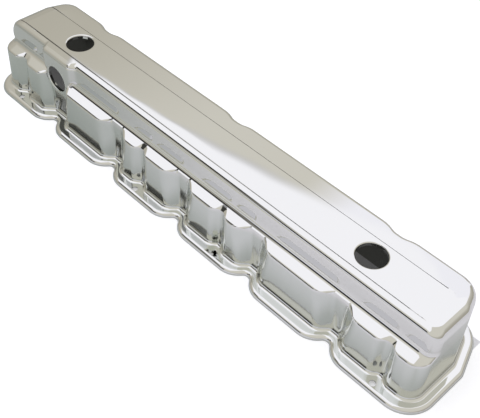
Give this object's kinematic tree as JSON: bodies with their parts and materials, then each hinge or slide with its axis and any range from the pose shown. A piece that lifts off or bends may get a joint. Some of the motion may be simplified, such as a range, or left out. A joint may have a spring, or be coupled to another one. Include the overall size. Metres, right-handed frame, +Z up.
{
  "type": "engine valve cover",
  "caption": "Long chrome-plated pressed sheet-steel valve cover with a scalloped side, a bolt flange, two round top holes and a side hole.",
  "frame": {"origin": "middle of the plane that the rolled edge of the flange stands on, midway between the two ends", "axes": "+X along the engine, +Y towards the plain side, so that the scalloped side faces -Y, +Z up through the top panel"},
  "size_m": [0.677, 0.1354, 0.093],
  "materials": {
    "chrome_sheet": "mirror-polished chrome plate"
  },
  "bodies": {
    "root": {"valve_cover": "chrome_sheet"}
  },
  "joints": []
}
